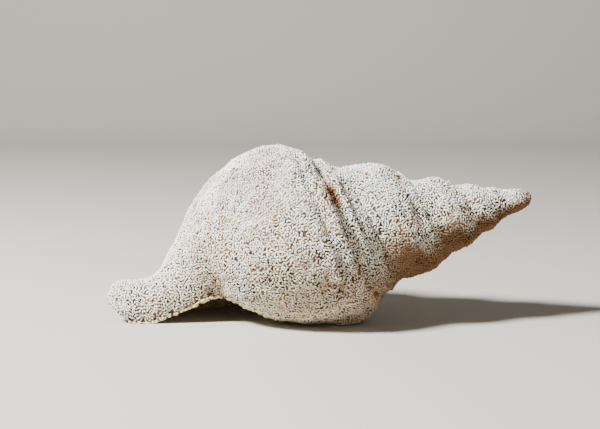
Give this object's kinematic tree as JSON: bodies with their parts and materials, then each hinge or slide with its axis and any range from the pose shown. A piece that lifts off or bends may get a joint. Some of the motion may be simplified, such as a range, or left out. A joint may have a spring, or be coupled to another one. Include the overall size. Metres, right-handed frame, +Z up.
{
  "type": "horse conch shell",
  "caption": "Horse conch shell lying on its aperture with the siphonal canal to the left and the spire rising to the right, overgrown with a rough pitted off-white crust",
  "frame": {"origin": "on the floor under the middle of the shell's bounding box, bottom centre", "axes": "+X points to the apex of the spire and -X to the end of the siphonal canal; +Z is up; +Y is the outer lip's side, away from the picture's camera"},
  "size_m": [0.2406, 0.1176, 0.1001],
  "materials": {
    "crust": "rough chalky white and cream crust with fine pits, faint lilac and tan patches"
  },
  "bodies": {
    "root": {"shell": "crust"}
  },
  "joints": []
}
